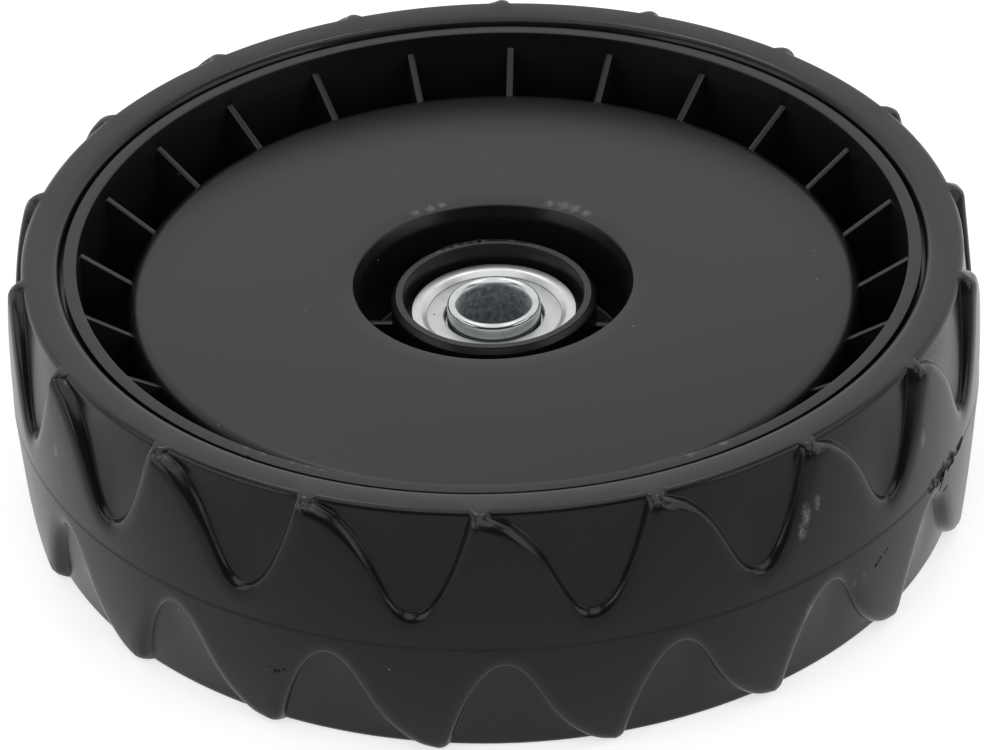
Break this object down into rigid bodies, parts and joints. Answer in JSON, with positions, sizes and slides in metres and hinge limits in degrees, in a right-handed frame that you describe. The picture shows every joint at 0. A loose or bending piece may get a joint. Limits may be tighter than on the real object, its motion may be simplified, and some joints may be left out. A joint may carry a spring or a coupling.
{
  "type": "wheel",
  "caption": "Ribbed moulded wheel with a zigzag-tread tyre, turning on pressed ball bearings with a plain axle bore, for a walk-behind garden machine.",
  "frame": {"origin": "on the axle's centre line, midway between the tyre's two side faces", "axes": "+Z along the axle, out of the dished front face; +X to the right and +Y away from the viewer of the pictured side"},
  "size_m": [0.2032, 0.2032, 0.057],
  "materials": {
    "tyre": "satin black moulded tyre",
    "body": "satin black moulded polypropylene",
    "race": "bright zinc-plated pressed steel",
    "sleeve": "bright zinc-plated turned steel",
    "shield": "bright zinc-plated sheet steel",
    "cage": "natural moulded nylon",
    "ball": "polished steel"
  },
  "bodies": {
    "axle_sleeves": {"front_inner_race": "sleeve", "rear_inner_race": "sleeve"},
    "wheel": {"tyre": "tyre", "wheel_body": "body", "front_outer_race": "race", "front_shield": "shield", "rear_outer_race": "race", "rear_shield": "shield"},
    "front_cage": {"front_cage": "cage"},
    "front_ball_1": {"front_ball_1": "ball"},
    "front_ball_2": {"front_ball_2": "ball"},
    "front_ball_3": {"front_ball_3": "ball"},
    "front_ball_4": {"front_ball_4": "ball"},
    "front_ball_5": {"front_ball_5": "ball"},
    "front_ball_6": {"front_ball_6": "ball"},
    "front_ball_7": {"front_ball_7": "ball"},
    "front_ball_8": {"front_ball_8": "ball"},
    "rear_cage": {"rear_cage": "cage"},
    "rear_ball_1": {"rear_ball_1": "ball"},
    "rear_ball_2": {"rear_ball_2": "ball"},
    "rear_ball_3": {"rear_ball_3": "ball"},
    "rear_ball_4": {"rear_ball_4": "ball"},
    "rear_ball_5": {"rear_ball_5": "ball"},
    "rear_ball_6": {"rear_ball_6": "ball"},
    "rear_ball_7": {"rear_ball_7": "ball"},
    "rear_ball_8": {"rear_ball_8": "ball"}
  },
  "joints": [
    {"name": "wheel_spin", "type": "hinge", "parent": "axle_sleeves", "child": "wheel", "pos_m": [0, 0, 0], "axis": [0, 0, 1], "continuous": true},
    {"name": "front_cage_turn", "type": "hinge", "parent": "axle_sleeves", "child": "front_cage", "pos_m": [0, 0, 0.004], "axis": [0, 0, 1], "continuous": true},
    {"name": "front_ball_1_roll", "type": "hinge", "parent": "front_cage", "child": "front_ball_1", "pos_m": [0.0128, 0, 0.004], "axis": [0, 0, 1], "continuous": true},
    {"name": "front_ball_2_roll", "type": "hinge", "parent": "front_cage", "child": "front_ball_2", "pos_m": [0.00905, 0.00905, 0.004], "axis": [0, 0, 1], "continuous": true},
    {"name": "front_ball_3_roll", "type": "hinge", "parent": "front_cage", "child": "front_ball_3", "pos_m": [0, 0.0128, 0.004], "axis": [0, 0, 1], "continuous": true},
    {"name": "front_ball_4_roll", "type": "hinge", "parent": "front_cage", "child": "front_ball_4", "pos_m": [-0.00905, 0.00905, 0.004], "axis": [0, 0, 1], "continuous": true},
    {"name": "front_ball_5_roll", "type": "hinge", "parent": "front_cage", "child": "front_ball_5", "pos_m": [-0.0128, 0, 0.004], "axis": [0, 0, 1], "continuous": true},
    {"name": "front_ball_6_roll", "type": "hinge", "parent": "front_cage", "child": "front_ball_6", "pos_m": [-0.00905, -0.00905, 0.004], "axis": [0, 0, 1], "continuous": true},
    {"name": "front_ball_7_roll", "type": "hinge", "parent": "front_cage", "child": "front_ball_7", "pos_m": [0, -0.0128, 0.004], "axis": [0, 0, 1], "continuous": true},
    {"name": "front_ball_8_roll", "type": "hinge", "parent": "front_cage", "child": "front_ball_8", "pos_m": [0.00905, -0.00905, 0.004], "axis": [0, 0, 1], "continuous": true},
    {"name": "rear_cage_turn", "type": "hinge", "parent": "axle_sleeves", "child": "rear_cage", "pos_m": [0, 0, -0.0166], "axis": [0, 0, 1], "continuous": true},
    {"name": "rear_ball_1_roll", "type": "hinge", "parent": "rear_cage", "child": "rear_ball_1", "pos_m": [0.0128, 0, -0.0166], "axis": [0, 0, 1], "continuous": true},
    {"name": "rear_ball_2_roll", "type": "hinge", "parent": "rear_cage", "child": "rear_ball_2", "pos_m": [0.00905, 0.00905, -0.0166], "axis": [0, 0, 1], "continuous": true},
    {"name": "rear_ball_3_roll", "type": "hinge", "parent": "rear_cage", "child": "rear_ball_3", "pos_m": [0, 0.0128, -0.0166], "axis": [0, 0, 1], "continuous": true},
    {"name": "rear_ball_4_roll", "type": "hinge", "parent": "rear_cage", "child": "rear_ball_4", "pos_m": [-0.00905, 0.00905, -0.0166], "axis": [0, 0, 1], "continuous": true},
    {"name": "rear_ball_5_roll", "type": "hinge", "parent": "rear_cage", "child": "rear_ball_5", "pos_m": [-0.0128, 0, -0.0166], "axis": [0, 0, 1], "continuous": true},
    {"name": "rear_ball_6_roll", "type": "hinge", "parent": "rear_cage", "child": "rear_ball_6", "pos_m": [-0.00905, -0.00905, -0.0166], "axis": [0, 0, 1], "continuous": true},
    {"name": "rear_ball_7_roll", "type": "hinge", "parent": "rear_cage", "child": "rear_ball_7", "pos_m": [0, -0.0128, -0.0166], "axis": [0, 0, 1], "continuous": true},
    {"name": "rear_ball_8_roll", "type": "hinge", "parent": "rear_cage", "child": "rear_ball_8", "pos_m": [0.00905, -0.00905, -0.0166], "axis": [0, 0, 1], "continuous": true}
  ],
  "couplings": [
    {"joint": "front_cage_turn", "follows": "wheel_spin", "ratio": 0.59297},
    {"joint": "front_ball_1_roll", "follows": "wheel_spin", "ratio": 2.5961},
    {"joint": "front_ball_2_roll", "follows": "wheel_spin", "ratio": 2.5961},
    {"joint": "front_ball_3_roll", "follows": "wheel_spin", "ratio": 2.5961},
    {"joint": "front_ball_4_roll", "follows": "wheel_spin", "ratio": 2.5961},
    {"joint": "front_ball_5_roll", "follows": "wheel_spin", "ratio": 2.5961},
    {"joint": "front_ball_6_roll", "follows": "wheel_spin", "ratio": 2.5961},
    {"joint": "front_ball_7_roll", "follows": "wheel_spin", "ratio": 2.5961},
    {"joint": "front_ball_8_roll", "follows": "wheel_spin", "ratio": 2.5961},
    {"joint": "rear_cage_turn", "follows": "wheel_spin", "ratio": 0.59297},
    {"joint": "rear_ball_1_roll", "follows": "wheel_spin", "ratio": 2.5961},
    {"joint": "rear_ball_2_roll", "follows": "wheel_spin", "ratio": 2.5961},
    {"joint": "rear_ball_3_roll", "follows": "wheel_spin", "ratio": 2.5961},
    {"joint": "rear_ball_4_roll", "follows": "wheel_spin", "ratio": 2.5961},
    {"joint": "rear_ball_5_roll", "follows": "wheel_spin", "ratio": 2.5961},
    {"joint": "rear_ball_6_roll", "follows": "wheel_spin", "ratio": 2.5961},
    {"joint": "rear_ball_7_roll", "follows": "wheel_spin", "ratio": 2.5961},
    {"joint": "rear_ball_8_roll", "follows": "wheel_spin", "ratio": 2.5961}
  ]
}
